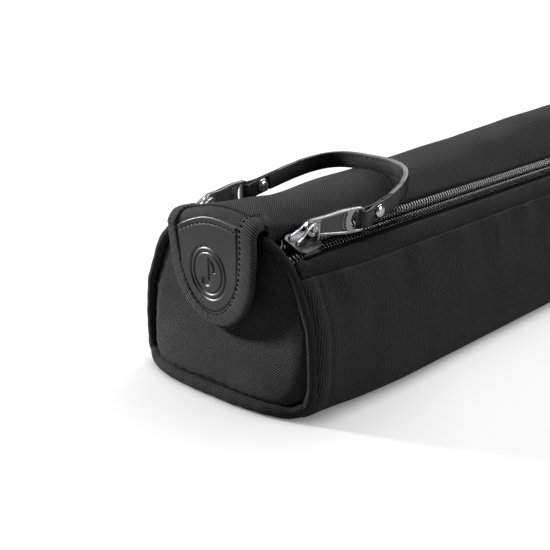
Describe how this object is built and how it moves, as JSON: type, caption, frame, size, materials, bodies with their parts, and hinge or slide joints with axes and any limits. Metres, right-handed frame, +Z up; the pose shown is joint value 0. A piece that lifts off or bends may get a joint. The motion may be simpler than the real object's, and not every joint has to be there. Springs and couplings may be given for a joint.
{
  "type": "music stand carrying bag",
  "caption": "Slim padded carrying bag for a folded music stand, with a lid between two zips, an end flap and a leather strap handle joining the zip pulls.",
  "frame": {"origin": "middle of the flat base, on the surface that it rests on", "axes": "+X along the bag from the flap end to the hinge end, +Z up, +Y to the left when looking along +X"},
  "size_m": [0.53, 0.1074, 0.0951],
  "materials": {
    "body_cloth": "diagonal twill weave, matt",
    "hem_cloth": "plain weave, matt",
    "welt": "piped welt, matt",
    "foam": "closed-cell padding",
    "lining": "plain woven lining",
    "zip_tape": "herringbone zip tape",
    "zip_coil": "moulded coil, glossy",
    "slider_metal": "dark nickel, polished",
    "pull_metal": "dark nickel, polished",
    "rivet_metal": "bright nickel, polished",
    "binding": "ribbed tape",
    "patch_leather": "smooth satin leather, embossed",
    "strap_leather": "smooth satin leather with painted edges",
    "hook_and_loop": "hook and loop pile"
  },
  "bodies": {
    "tub": {"bottom_panel": "body_cloth", "right_side_panel": "body_cloth", "left_side_panel": "body_cloth", "right_top_hem": "hem_cloth", "left_top_hem": "hem_cloth", "near_end_panel": "body_cloth", "far_end_panel": "body_cloth", "near_end_welt": "welt", "far_end_welt": "welt", "base_board": "foam", "right_side_foam": "foam", "left_side_foam": "foam", "near_end_foam": "foam", "far_end_foam": "foam", "tub_lining": "lining", "right_body_tape": "zip_tape", "left_body_tape": "zip_tape", "right_body_coil": "zip_coil", "left_body_coil": "zip_coil", "zip_end_stops": "slider_metal", "end_loop_patch": "hook_and_loop", "hinge_seam_binding": "hem_cloth"},
    "lid": {"lid_panel": "body_cloth", "lid_front_lip": "body_cloth", "lid_foam": "foam", "lid_lining": "lining", "right_lid_tape": "zip_tape", "left_lid_tape": "zip_tape", "right_lid_coil": "zip_coil", "left_lid_coil": "zip_coil"},
    "flap": {"end_flap": "body_cloth", "flap_binding": "binding", "leather_patch": "patch_leather", "flap_hook_patch": "hook_and_loop"},
    "slider_right": {"right_slider": "slider_metal", "right_slider_crown": "slider_metal"},
    "slider_left": {"left_slider": "slider_metal", "left_slider_crown": "slider_metal"},
    "handle": {"right_zip_pull": "pull_metal", "left_zip_pull": "pull_metal", "strap_outer": "strap_leather", "strap_inner": "strap_leather", "strap_rivets": "rivet_metal"}
  },
  "joints": [
    {"name": "lid_open", "type": "hinge", "parent": "tub", "child": "lid", "pos_m": [0.26365, 0, 0.0868], "axis": [0, 1, 0], "range_deg": [0, 75]},
    {"name": "right_zip_slide", "type": "slide", "parent": "lid", "child": "slider_right", "axis": [1, 0, 0], "range_m": [0, 0.41]},
    {"name": "left_zip_slide", "type": "slide", "parent": "lid", "child": "slider_left", "axis": [1, 0, 0], "range_m": [0, 0.41]},
    {"name": "flap_lift", "type": "hinge", "parent": "lid", "child": "flap", "pos_m": [-0.26405, 0, 0.0803], "axis": [0, 1, 0], "range_deg": [0, 110]},
    {"name": "handle_swing", "type": "hinge", "parent": "slider_right", "child": "handle", "pos_m": [-0.23565, -0.032, 0.0792], "axis": [0, -1, 0], "range_deg": [0, 150]}
  ],
  "couplings": [
    {"joint": "right_zip_slide", "follows": "lid_open", "m_per_rad": 0.3132},
    {"joint": "left_zip_slide", "follows": "lid_open", "m_per_rad": 0.3132}
  ]
}
